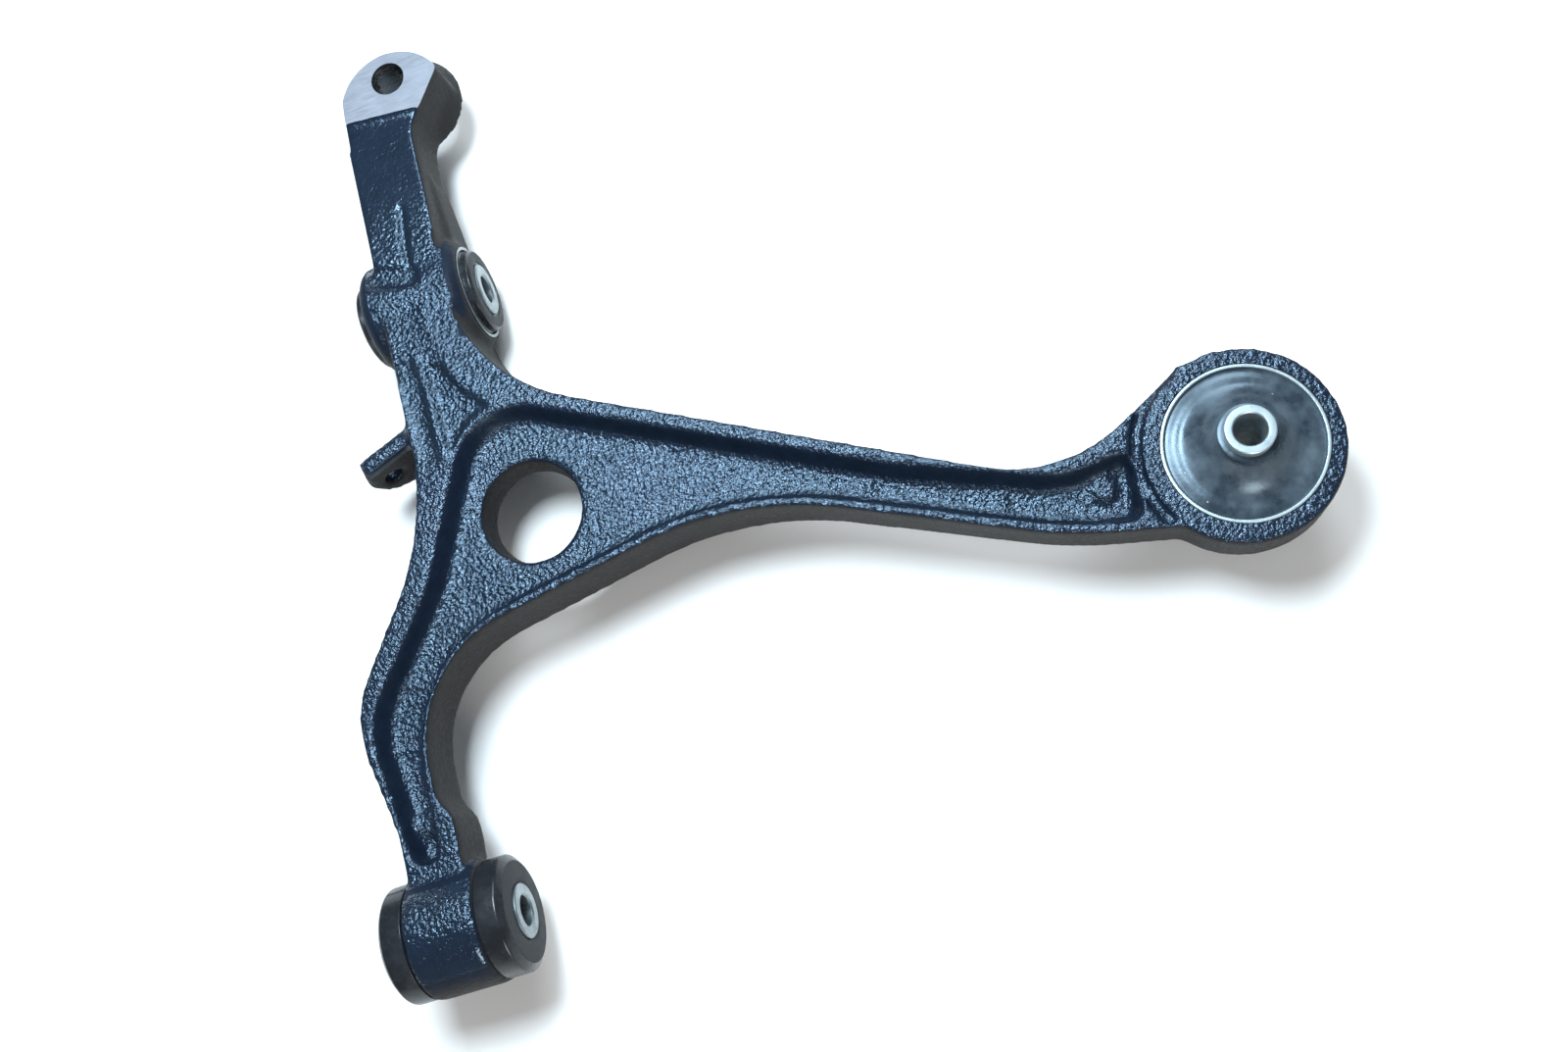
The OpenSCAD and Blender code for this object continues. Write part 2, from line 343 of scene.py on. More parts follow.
def turned(name, corners, at, along="Z", flip=False):
    """A closed section turned about an axis: a ring that is extruded and resized point by point."""
    points = round_corners(corners)
    radius, height = points[0]
    deselect()
    bpy.ops.mesh.primitive_circle_add(
        vertices=settings()[1].segments, radius=radius * MM, location=(0, 0, height * MM)
    )
    obj = bpy.context.active_object
    obj.name = name
    settle(obj)
    edit(obj, "EDGE")
    bpy.ops.mesh.select_all(action="SELECT")
    for next_radius, next_height in [*points[1:], points[0]]:
        bpy.ops.mesh.extrude_edges_move(
            TRANSFORM_OT_translate={"value": (0, 0, (next_height - height) * MM)}
        )
        ratio = next_radius / radius
        bpy.ops.transform.resize(value=(ratio, ratio, 1), center_override=(0, 0, 0))
        radius, height = next_radius, next_height
    bpy.ops.mesh.select_all(action="SELECT")
    bpy.ops.mesh.remove_doubles(threshold=1e-6)
    bpy.ops.mesh.normals_make_consistent(inside=False)
    leave_edit()
    if flip:
        obj.rotation_euler = (math.pi, 0, 0)
        settle(obj)
    if along == "X":
        obj.rotation_euler = (0, math.pi / 2, 0)
    obj.location = at
    settle(obj)
    return smooth(obj)


# ---- Material helpers -----------------------------------------------------


class Finish:
    """A node material that starts with a Principled shader and object coordinates."""

    def __init__(self, name, **sockets):
        self.material = bpy.data.materials.new(name)
        self.material.use_nodes = True
        self.tree = self.material.node_tree
        self.shader = self.tree.nodes["Principled BSDF"]
        self.place = self.tree.nodes.new("ShaderNodeTexCoord")
        for key, value in sockets.items():
            self.shader.inputs[key.replace("_", " ")].default_value = value

    def link(self, a, b):
        self.tree.links.new(a, b)

    def stretched(self, scale=(1, 1, 1), turn=(0, 0, 0)):
        node = self.tree.nodes.new("ShaderNodeMapping")
        node.inputs["Scale"].default_value = scale
        node.inputs["Rotation"].default_value = turn
        self.link(self.place.outputs["Object"], node.inputs["Vector"])
        return node.outputs["Vector"]

    def noise(self, spacing, detail=3, roughness=0.5, vector=None):
        """Soft noise whose features are about `spacing` metres apart."""
        node = self.tree.nodes.new("ShaderNodeTexNoise")
        node.inputs["Scale"].default_value = 1 / spacing
        node.inputs["Detail"].default_value = detail
        node.inputs["Roughness"].default_value = roughness
        self.link(vector or self.place.outputs["Object"], node.inputs["Vector"])
        return node.outputs["Fac"]

    def cells(self, spacing, feature="SMOOTH_F1"):
        node = self.tree.nodes.new("ShaderNodeTexVoronoi")
        node.feature = feature
        node.inputs["Scale"].default_value = 1 / spacing
        self.link(self.place.outputs["Object"], node.inputs["Vector"])
        return node.outputs["Distance"]

    def ramp(self, value, *stops):
        """Maps a value through stops of (position, grey or colour)."""
        node = self.tree.nodes.new("ShaderNodeValToRGB")
        ramp = node.color_ramp
        while len(ramp.elements) < len(stops):
            ramp.elements.new(0.5)
        for element, (position, shade) in zip(ramp.elements, stops):
            element.position = position
            element.color = (*shade, 1) if hasattr(shade, "__len__") else (*[shade] * 3, 1)
        self.link(value, node.inputs["Fac"])
        return node.outputs["Color"]

    def maths(self, operation, a, b=0.0):
        node = self.tree.nodes.new("ShaderNodeMath")
        node.operation = operation
        for socket, value in zip(node.inputs, (a, b)):
            if isinstance(value, (int, float)):
                socket.default_value = value
            else:
                self.link(value, socket)
        return node.outputs[0]

    def mix(self, factor, a, b):
        node = self.tree.nodes.new("ShaderNodeMix")
        node.data_type = "RGBA"
        for socket, value in ((node.inputs[0], factor), (node.inputs[6], a), (node.inputs[7], b)):
            if isinstance(value, (int, float)):
                socket.default_value = value
            elif hasattr(value, "is_linked"):
                self.link(value, socket)
            else:
                socket.default_value = (*value, 1)
        return node.outputs[2]

    def facing_up(self):
        """How far a surface faces up in the object's own frame, from -1 to 1."""
        node = self.tree.nodes.new("ShaderNodeSeparateXYZ")
        self.link(self.place.outputs["Normal"], node.inputs["Vector"])
        return node.outputs["Z"]

    def along(self, axis):
        node = self.tree.nodes.new("ShaderNodeSeparateXYZ")
        self.link(self.place.outputs["Object"], node.inputs["Vector"])
        return node.outputs[axis]

    def colour(self, value):
        self.link(value, self.shader.inputs["Base Color"])

    def roughness(self, value):
        self.link(value, self.shader.inputs["Roughness"])

    def bump(self, *layers):
        """Stacks layers of (height value, depth in metres, strength)."""
        normal = None
        for height, depth, strength in layers:
            node = self.tree.nodes.new("ShaderNodeBump")
            node.inputs["Distance"].default_value = depth
            node.inputs["Strength"].default_value = strength
            self.link(height, node.inputs["Height"])
            if normal is not None:
                self.link(normal, node.inputs["Normal"])
            normal = node.outputs["Normal"]
        self.link(normal, self.shader.inputs["Normal"])


def cast_film(f):
    """Colour of the paint film: blue-black on the faces, browner on the side walls, where the brown is
    painted shade and reflection picked by how steeply a face stands.
    """
    casting = settings()[0]
    # Steep faces take the browner side colour: painted shade and reflection chosen by facing direction.
    up = f.ramp(f.maths("ABSOLUTE", f.facing_up()), (0.42, 0.0), (0.60, 1.0))
    patches = f.ramp(f.noise(0.014, 5, 0.65), (0.35, 0.0), (0.7, 1.0))
    top = f.mix(patches, casting.paint, tuple(1.5 * c for c in casting.paint))
    # The side walls' browner colour with random patches: painted shade and reflection.
    side = f.mix(patches, casting.side_shade_paint, tuple(1.3 * c for c in casting.side_shade_paint))
    f.colour(f.mix(up, side, top))


def cast_paint():
    """Glossy paint over the pebbly skin of sand-cast iron."""
    f = Finish("Cast paint", IOR=1.5, Specular_IOR_Level=0.75, Specular_Tint=(0.60, 0.80, 1.0, 1.0))
    cast_film(f)
    grit = f.noise(0.0006, 3, 0.6)
    f.roughness(f.ramp(grit, (0.3, 0.13), (0.7, 0.27)))
    # The pebbles fade out where the paint pooled: below the pivot eye and on the upper neck
    from_pivot = f.maths("ADD", f.along("Y"), 0.05)
    pebbly = f.ramp(from_pivot, (0.034, 0.1), (0.052, 1.0), (0.320, 1.0), (0.365, 0.28))
    pebbles = f.maths("MULTIPLY", f.cells(0.0018), pebbly)
    ripple = f.maths("MULTIPLY", f.noise(0.0011, 2, 0.5), pebbly)
    f.bump((pebbles, 0.0008, 0.7), (ripple, 0.0008, 0.7), (grit, 0.0001, 0.3))
    return f.material


def cast_side():
    """The duller, smoother paint of the drafted side walls, coloured with cast_film's browner side colour,
    which is painted shade and reflection.
    """
    f = Finish("Cast side", IOR=1.5, Specular_IOR_Level=0.12)
    cast_film(f)
    grit = f.noise(0.0011, 3, 0.6)
    f.roughness(f.ramp(grit, (0.3, 0.5), (0.7, 0.68)))
    f.bump((f.noise(0.0030, 3, 0.5), 0.0008, 0.35), (grit, 0.0003, 0.4))
    return f.material


def cast_pocket():
    """The smooth, nearly black paint on the sloping walls inside the pocket, a darker copy of the face
    paint as painted shade.
    """
    casting = settings()[0]
    f = Finish("Cast pocket", IOR=1.5, Specular_IOR_Level=0.25, Specular_Tint=(0.60, 0.80, 1.0, 1.0))
    runs = f.ramp(f.noise(0.006, 4, 0.6), (0.35, 0.0), (0.7, 1.0))
    # 0.9 to 1.3 times the paint, against 1 to 1.5 times on the faces: painted shade in the pocket.
    f.colour(f.mix(runs, tuple(0.9 * c for c in casting.paint), tuple(1.3 * c for c in casting.paint)))
    grit = f.noise(0.0009, 3, 0.6)
    f.roughness(f.ramp(grit, (0.3, 0.3), (0.7, 0.45)))
    f.bump((f.noise(0.0026, 3, 0.5), 0.0006, 0.35), (grit, 0.0002, 0.4))
    return f.material


def milled_iron():
    """Bare face left by a milling cutter: fine parallel marks and a little staining."""
    casting = settings()[0]
    f = Finish("Milled iron", Metallic=0.55, IOR=1.6)
    turn = (0, 0, math.radians(8))
    lines = f.noise(0.0005, 2, 0.5, f.stretched(scale=(0.04, 1, 1), turn=turn))
    stains = f.ramp(f.noise(0.012, 4, 0.65), (0.35, 0.0), (0.75, 1.0))
    clean = casting.bare_iron
    shade = f.mix(stains, clean, tuple(0.78 * c for c in clean))
    f.colour(f.mix(f.ramp(lines, (0.35, 0.0), (0.65, 0.25)), shade, (0.36, 0.37, 0.42)))
    f.roughness(f.ramp(lines, (0.3, 0.38), (0.7, 0.56)))
    f.bump((lines, 0.00006, 0.5))
    return f.material


def zinc_plate(name, brightness):
    """Satin zinc plating with fine turning marks, a few scuffs and dull patches."""
    bushes = settings()[1]
    zinc = tuple(brightness * c for c in bushes.zinc)
    f = Finish(name, Metallic=0.85, IOR=1.8)
    dull = f.ramp(f.noise(0.006, 5, 0.7), (0.35, 0.0), (0.7, 1.0))
    scuffs = f.ramp(f.noise(0.0016, 6, 0.75), (0.55, 0.0), (0.66, 1.0))
    plate = f.mix(dull, zinc, tuple(0.72 * c for c in zinc))
    f.colour(f.mix(f.maths("MULTIPLY", scuffs, 0.35), plate, tuple(0.5 * c for c in zinc)))
    f.roughness(f.mix(dull, (0.30, 0.30, 0.30), (0.50, 0.50, 0.50)))
    f.bump((f.noise(0.0007, 4, 0.6), 0.00005, 0.5))
    return f.material


def moulded_rubber():
    """Shiny black moulded rubber with faint flow marks and finger smudges."""
    bushes = settings()[1]
    f = Finish("Moulded rubber", IOR=1.5, Specular_IOR_Level=0.35)
    smudge = f.ramp(f.noise(0.009, 5, 0.65), (0.4, 0.0), (0.75, 1.0))
    f.colour(f.mix(smudge, bushes.rubber, tuple(1.9 * c for c in bushes.rubber)))
    f.roughness(f.mix(smudge, (0.22, 0.22, 0.22), (0.40, 0.40, 0.40)))
    f.bump((f.noise(0.004, 3, 0.5), 0.0004, 0.25), (f.noise(0.0006, 2, 0.5), 0.00005, 0.3))
    return f.material


def rubber_end():
    """The dull end face of a cross bush, cleaned of its moulding skin."""
    bushes = settings()[1]
    f = Finish("Rubber end", IOR=1.5, Specular_IOR_Level=0.08)
    haze = f.ramp(f.noise(0.005, 5, 0.65), (0.4, 0.0), (0.7, 1.0))
    f.colour(f.mix(haze, tuple(1.6 * c for c in bushes.rubber), tuple(3.2 * c for c in bushes.rubber)))
    f.roughness(f.mix(haze, (0.42, 0.42, 0.42), (0.6, 0.6, 0.6)))
    f.bump((f.noise(0.0009, 3, 0.5), 0.0001, 0.4))
    return f.material


def bloomed_rubber():
    """Satin grey-black rubber with a pale bloom, moulding specks and smudges."""
    bushes = settings()[1]
    f = Finish("Bloomed rubber", IOR=1.5, Specular_IOR_Level=0.7, Specular_Tint=(0.70, 0.88, 1.0, 1.0))
    cloud = f.ramp(f.noise(0.016, 5, 0.6), (0.38, 0.0), (0.68, 1.0))
    film = f.mix(cloud, bushes.dish, bushes.bloom)
    specks = f.ramp(f.cells(0.0052, "F1"), (0.0, 1.0), (0.085, 0.0))
    rare = f.ramp(f.noise(0.011, 1, 0.5), (0.60, 0.0), (0.64, 1.0))
    f.colour(f.mix(f.maths("MULTIPLY", specks, rare), film, (0.55, 0.58, 0.60)))
    f.roughness(f.mix(cloud, (0.26, 0.26, 0.26), (0.40, 0.40, 0.40)))
    f.bump((f.noise(0.007, 3, 0.5), 0.0005, 0.3), (f.noise(0.0008, 2, 0.5), 0.00005, 0.35))
    return f.material


def moulded_plastic(name, tint, fleck):
    """Injection-moulded plastic with a fine spark-eroded grain and flow marks."""
    f = Finish(name, IOR=1.46)
    flow = f.noise(0.01, 3, 0.6, f.stretched(scale=(1, 1, 0.2)))
    f.colour(f.mix(f.ramp(flow, (0.35, 0.0), (0.7, 0.6)), tint, fleck))
    grain = f.noise(0.0005, 3, 0.6)
    f.roughness(f.ramp(grain, (0.3, 0.42), (0.7, 0.62)))
    f.bump((grain, 0.00008, 0.5))
    return f.material


def material(name):
    """Finds a finish by name, and makes it the first time that it is asked for."""
    makers = {
        "Cast paint": cast_paint,
        "Cast side": cast_side,
        "Cast pocket": cast_pocket,
        "Milled iron": milled_iron,
        "Zinc plate": lambda: zinc_plate("Zinc plate", 1.0),
        "Worn zinc": lambda: zinc_plate("Worn zinc", 0.5),
        "Moulded rubber": moulded_rubber,
        "Rubber end": rubber_end,
        "Bloomed rubber": bloomed_rubber,
        "Orifice nylon": lambda: moulded_plastic("Orifice nylon", (0.62, 0.61, 0.56), (0.52, 0.51, 0.46)),
        "Stop nylon": lambda: moulded_plastic("Stop nylon", (0.035, 0.035, 0.036), (0.06, 0.06, 0.06)),
    }
    return bpy.data.materials.get(name) or makers[name]()


def paint(obj, *names):
    obj.data.materials.clear()
    for name in names:
        obj.data.materials.append(material(name))
    return obj


# ---- The casting ----------------------------------------------------------

# Where the milled face ends across the neck, and the height it is milled to
MILL_FROM = Vector((0.0295, 0.3550, 0))
MILL_TO = Vector((0.0615, 0.3510, 0))
MILL_TOP = ARM_TOP + 0.05 * MM

# Shallow hollows in the neck's upper face: depth in mm, then outline in mm
NECK_HOLLOWS = [
    (1.6, [(40.2, 230.5), (47.2, 229.5), (54.2, 215.5), (64.5, 203.5), (55.5, 200.5),
           (48.5, 194.5), (42.6, 187)]),
    (1.5, [(24, 284), (47, 277.5), (48, 269), (41, 268), (24, 274)]),
    (1.8, [(45.0, 308), (48.4, 306.5), (46.8, 291), (44.5, 268), (42.5, 268), (42.0, 291)]),
    (1.0, [(26.5, 236), (36.0, 236), (38.2, 222), (38.0, 208), (38.4, 188), (31, 188)]),
]

# Thin ridges standing on the faces: height, half width, then route, all in mm
NECK_RIDGES = [
    (0.9, 0.8, [(37.5, 236.5), (39.6, 222), (39.6, 206), (41.2, 185)]),
    (0.7, 1.0, [(45.5, 262), (45.6, 249), (47.6, 239), (51, 228.5), (55, 217), (62.5, 206.3),
                (70.5, 200.6)]),
]

# Thin ribs that the mould's joints leave across the web: two ends, in mm
MOULD_LINES = [
    [(209.5, 131), (204.5, 110)],
    [(257, 104), (252.5, 88)],
    [(-6, 102.5), (4, 100)],
    [(-13.5, 76), (4, 73.5)],
]

# Ejector pads in the pocket: centre, in mm
PADS = [(-3, 43.5), (293, 89.4)]

# Outline of the thicker wall that carries the fork bush, in mm along Y and Z
FORK_HOUSING = [
    (322, 4), (318, -1), (320, -15), (306, -22), (290, -28), (262, -31), (240, -24), (238, -8),
    (262, -2), (296, -2), (308, 1),
]

# The fork bush's boss on the arm: half its plain length, and its radius there, in mm
FORK_PLAIN = 20.5
FORK_BOSS = 25.5


def mill_normal():
    across = MILL_TO - MILL_FROM
    return Vector((-across.y, across.x, 0)).normalized()


def raise_boss(obj):
    """Leaves the ball-joint boss standing proud, as it is before it is milled."""
    normal = mill_normal()
    edit(obj)
    bpy.ops.mesh.select_all(action="SELECT")
    bpy.ops.mesh.bisect(plane_co=MILL_FROM, plane_no=normal)
    found = pick_faces(
        obj, lambda c, n: n.z > 0.9 and c.z > ARM_TOP - 1 * MM and (c - MILL_FROM).dot(normal) > 0
    )
    if not found:
        raise RuntimeError("the boss has no upper face to raise")
    bpy.ops.mesh.extrude_region_move(TRANSFORM_OT_translate={"value": (0, 0, 3 * MM)})
    leave_edit()


def ridge(name, height, half_width, route, low):
    """A low rib along a route, as a plate whose two long sides follow it."""
    left, right = [], []
    for i, point in enumerate(route):
        here = Vector(point)
        ahead = Vector(route[min(i + 1, len(route) - 1)]) - Vector(route[max(i - 1, 0)])
        side = Vector((-ahead.y, ahead.x)).normalized() * half_width
        left.append(here + side)
        right.append(here - side)
    return slab(name, in_mm([*left, *reversed(right)]), low - 2 * MM, low + height * MM)


def draft_pocket(obj, floor, rim, run_of):
    """Slopes a pocket's upright walls: the foot moves out over the floor, the top edge moves back."""
    mesh = obj.data
    near = 0.01 * MM
    pushes = {}
    for face in mesh.polygons:
        heights = [mesh.vertices[v].co.z for v in face.vertices]
        spans = all(min(abs(z - level) for z in heights) < near for level in (floor, rim))
        if abs(face.normal.z) > 0.1 or not spans:
            continue
        for v in face.vertices:
            pushes.setdefault(v, Vector())
            pushes[v] += face.normal * face.area
    if not pushes:
        raise RuntimeError("the pocket has no upright walls to slope")
    for v, push in pushes.items():
        push.z = 0
        push.normalize()
        run = run_of(mesh.vertices[v].co, push)
        at_floor = abs(mesh.vertices[v].co.z - floor) < near
        mesh.vertices[v].co += push * (0.62 * run if at_floor else -0.38 * run)


def add_grain(obj, casting):
    """Gives the cast skin its slow unevenness and its pebbly sand grain, strongest on level faces."""
    group = obj.vertex_groups.new(name="Grain")
    for vertex in obj.data.vertices:
        level = max(0, min(1, (abs(vertex.normal.z) - 0.6) / 0.3))
        group.add([vertex.index], 0.25 + 0.75 * level, "REPLACE")
    for label, kind, size, height in (
        ("Wave", "CLOUDS", casting.wave_size, casting.wave_height),
        ("Pebble", "CLOUDS", casting.pebble_size, casting.pebble_height),
    ):
        texture = bpy.data.textures.new(label, kind)
        texture.noise_scale = size
        texture.noise_depth = 1
        modify(
            obj, "DISPLACE", texture=texture, strength=height, mid_level=0.5,
            vertex_group=group.name, texture_coords="LOCAL",
        )
        bpy.data.textures.remove(texture)


def housing():
    """The plate that thickens the wall round the fork bush."""
    plate = slab("housing", in_mm(FORK_HOUSING), 40 * MM, 60.6 * MM)
    plate.data.transform(Matrix(((0, 0, 1, 0), (1, 0, 0, 0), (0, 1, 0, 0), (0, 0, 0, 1))))
    return outward(plate)


def eye_step():
    """A cutter for the shallow groove between the arm's rim and the compliance eye."""
    centre = Vector((EYE_AT.x - 1.0 * MM, EYE_AT.y - 0.3 * MM))
    near, far, depth = 36.9 * MM, 41.4 * MM, 2.6 * MM
    inner, outer = [], []
    for degrees in range(112, 213, 4):
        aim = Vector((math.cos(math.radians(degrees)), math.sin(math.radians(degrees))))
        inner.append(centre + aim * near)
        outer.append(centre + aim * far)
    return slab("step", [*inner, *reversed(outer)], ARM_TOP - depth, ARM_TOP + 6 * MM)


class ARM_OT_casting(Operator):
    """Cast arm with drafted pockets, sand grain, a milled boss and machined bores"""

    bl_idname = "arm.casting"
    bl_label = "Casting"

    def execute(self, context):
        casting = settings()[0]
        obj = merged_copy("arm_casting", "cast_arm")
        web = ARM_TOP - casting.web_depth
        draft_pocket(obj, web, ARM_TOP, self.upper_run)
        raise_boss(obj)
        join(obj, [*self.plugs(), *self.ribs(web), housing()])
        modify(obj, "REMESH", mode="VOXEL", voxel_size=casting.voxel)
        for depth, outline in NECK_HOLLOWS:
            cut(obj, slab("hollow", in_mm(outline), ARM_TOP - depth * MM, ARM_TOP + 6 * MM))
        cut(obj, eye_step())
        modify(obj, "REMESH", mode="VOXEL", voxel_size=casting.voxel)
        modify(obj, "SMOOTH", factor=0.5, iterations=casting.edge_passes)
        paint(obj, "Cast paint", "Cast side", "Milled iron", "Cast pocket")
        self.sort_walls(obj, web)
        add_grain(obj, casting)
        self.machine(obj)
        across = mill_normal()
        for face in obj.data.polygons:
            beyond = (face.center - MILL_FROM).dot(across) > -0.6 * MM
            if beyond and face.normal.z > 0.999 and abs(face.center.z - MILL_TOP) < 0.01 * MM:
                face.material_index = 2
        smooth(obj, 62)
        finish_piece(obj, "arm", "painted_casting", "arm_casting")
        return {"FINISHED"}

    def sort_walls(self, obj, web):
        """Walls get the duller paint, with its browner side colour as painted shade and reflection, and
        walls that face each other across the pocket get its own, darker as painted shade.
        """
        across = 125 * MM
        clear = 4 * MM
        depsgraph = bpy.context.evaluated_depsgraph_get()
        for face in obj.data.polygons:
            off = face.center - FORK_AT
            boss = abs(off.y) < 30 * MM and abs(off.x) > 18.3 * MM
            if abs(face.normal.z) > 0.72 and not boss:
                continue
            inside = False
            if web < face.center.z < ARM_TOP and face.normal.z > 0:
                aim = Vector((face.normal.x, face.normal.y, 0)).normalized()
                start = face.center + aim * clear
                start.z = max(face.center.z, web + 2 * MM)
                inside = obj.ray_cast(start, aim, distance=across, depsgraph=depsgraph)[0]
            # Pocket walls take the darker pocket paint, which is painted shade; other walls take the side
            # paint with its painted side shade.
            face.material_index = 3 if inside else 1

    def upper_run(self, co, push):
        """The walls that face the pivot leg's outer side slope gently; the others are steeper."""
        casting = settings()[0]
        facing = max(0, min(1, (push.dot(Vector((0.6, -0.8, 0))) + 0.2) / 0.7))
        if co.x > 0.29:
            facing = max(facing, 0.5)
        return casting.short_draft + (casting.draft - casting.short_draft) * facing

    def plugs(self):
        """Fills every bore, so that each can be machined crisply at the end."""
        pivot = node_size("pivot_outer_sleeve")
        fork = node_size("fork_outer_sleeve")
        comp = node_size("compliance_outer_sleeve")
        half = pivot.x / 2
        fork_half = FORK_PLAIN * MM
        made = [
            rod("plug", pivot.y / 2 + 1 * MM, -half, half, PIVOT_AT, "X"),
            rod("plug", fork.y / 2 + 1 * MM, -fork_half, fork_half, FORK_AT, "X"),
            rod("plug", comp.x / 2 + 1 * MM, ARM_TOP - 24 * MM, ARM_TOP, (EYE_AT.x, EYE_AT.y, 0)),
            rod("plug", 10 * MM, -15 * MM, ARM_TOP + 3 * MM, (BALL_AT.x, BALL_AT.y, 0)),
        ]
        boss, lip = FORK_BOSS * MM, fork.y / 2 + 1.0 * MM
        reach = fork.x / 2 - 0.3 * MM
        made.append(rod("boss", boss, fork_half - 1 * MM, reach, FORK_AT, "X", top_radius=lip))
        made.append(rod("boss", lip, -reach, -fork_half + 1 * MM, FORK_AT, "X", top_radius=boss))
        return made

    def ribs(self, web):
        made = [ridge("ridge", h, w, route, ARM_TOP) for h, w, route in NECK_RIDGES]
        made += [ridge("line", 0.7, 0.75, route, web) for route in MOULD_LINES]
        foot, crown, height = 5.2 * MM, 4.2 * MM, 2 * MM
        for at in in_mm(PADS):
            made.append(
                rod("pad", foot, web - 1 * MM, web + height, (*at, 0), top_radius=crown, vertices=24)
            )
        return made

    def machine(self, obj):
        """Cuts the milled face, the three press-fit bores and the taper."""
        normal = mill_normal()
        along = (MILL_TO - MILL_FROM).normalized()
        start = MILL_FROM - normal * 0.5 * MM
        far = 60 * MM
        outline = [start - along * far, start + along * far,
                   start + along * far + normal * far, start - along * far + normal * far]
        cut(obj, slab("mill", outline, MILL_TOP, ARM_TOP + 12 * MM))
        cut(obj, rod("bore", node_size("pivot_outer_sleeve").y / 2, -far, far, PIVOT_AT, "X"))
        cut(obj, rod("bore", node_size("fork_outer_sleeve").y / 2, -far, far, FORK_AT, "X"))
        eye, ball = (EYE_AT.x, EYE_AT.y, 0), (BALL_AT.x, BALL_AT.y, 0)
        cut(obj, rod("bore", node_size("compliance_outer_sleeve").x / 2, -far, far, eye))
        cut(obj, rod("taper", TAPER_FAR * MM, -16 * MM, ARM_TOP + 2 * MM, ball, top_radius=TAPER_NEAR * MM))


# ---- The bushes -----------------------------------------------------------


def paint_bush(rubber):
    """Shiny skin round a cross bush and a dull face at each end."""
    paint(rubber, "Moulded rubber", "Rubber end")
    for face in rubber.data.polygons:
        face.material_index = int(abs(face.normal.x) > 0.9)


class ARM_OT_pivot_bush(Operator):
    """Moulded rubber and plated sleeve of the pivot bush"""

    bl_idname = "arm.pivot_bush"
    bl_label = "Pivot bush"

    def execute(self, context):
        half = node_size("pivot_rubber").x / 2 / MM
        shoulder = node_size("pivot_rubber").y / 2 / MM
        eye_half = node_size("pivot_outer_sleeve").x / 2 / MM
        core = node_size("pivot_outer_sleeve").y / 2 / MM - 1.5
        inner = node_size("pivot_inner_sleeve").y / 2 / MM
        bond = inner + 0.03
        section = [
            (bond, -half + 0.6, 0), (inner + 1.2, -half + 0.1, 0.3), (inner + 2.4, -half, 0.4),
            (shoulder - 3.2, -half + 0.25, 1.5), (shoulder, -half + 2.6, 1.6),
            (shoulder, -eye_half - 0.05, 0.3), (core, -eye_half - 0.05, 0),
            (core, eye_half + 0.05, 0), (shoulder, eye_half + 0.05, 0.3),
            (shoulder, half - 2.6, 1.6), (shoulder - 3.2, half - 0.25, 1.5),
            (inner + 2.4, half, 0.4), (inner + 1.2, half - 0.1, 0.3), (bond, half - 0.6, 0),
        ]
        rubber = turned("pivot_rubber_moulding", section, PIVOT_AT, "X")
        self.flash_lines(rubber, eye_half * MM)
        paint_bush(rubber)
        finish_piece(rubber, "arm", "black_rubber", "pivot_rubber")
        sleeve_half = node_size("pivot_inner_sleeve").x / 2 / MM
        sleeve = turned("pivot_sleeve", sleeve_section(inner, PIVOT_BOLT, sleeve_half, 0.7), PIVOT_AT, "X")
        paint(sleeve, "Worn zinc")
        finish_piece(sleeve, "pivot_core", "zinc_sleeve", "pivot_inner_sleeve")
        paint(NODES["pivot_outer_sleeve"], "Zinc plate")
        return {"FINISHED"}

    def flash_lines(self, obj, eye_half):
        """Thin raised lines that the mould's joint leaves along each shoulder."""
        for side, angle in ((1, -62), (-1, 28)):
            turn = math.radians(angle)
            aim = Vector((0, math.cos(turn), math.sin(turn)))
            edit(obj, "FACE")
            found = pick_faces(
                obj,
                lambda c, n: c.x * side > eye_half + 1 * MM
                and abs(n.x) < 0.1
                and n.dot(aim) > math.cos(math.radians(1.6)),
            )
            if not found:
                raise RuntimeError("the pivot rubber has no face for its mould line")
            bpy.ops.mesh.inset(thickness=0.25 * MM, depth=0.22 * MM)
            leave_edit()


def sleeve_section(outer, bore, half, ease):
    """Half section of a plated sleeve with its bore and rim eased, in mm."""
    return [
        (bore, -half + ease, 0.2), (bore + ease, -half, 0.2),
        (outer - ease * 0.7, -half, 0.25), (outer, -half + ease * 0.7, 0.25),
        (outer, half - ease * 0.7, 0.25), (outer - ease * 0.7, half, 0.25),
        (bore + ease, half, 0.2), (bore, half - ease, 0.2),
    ]


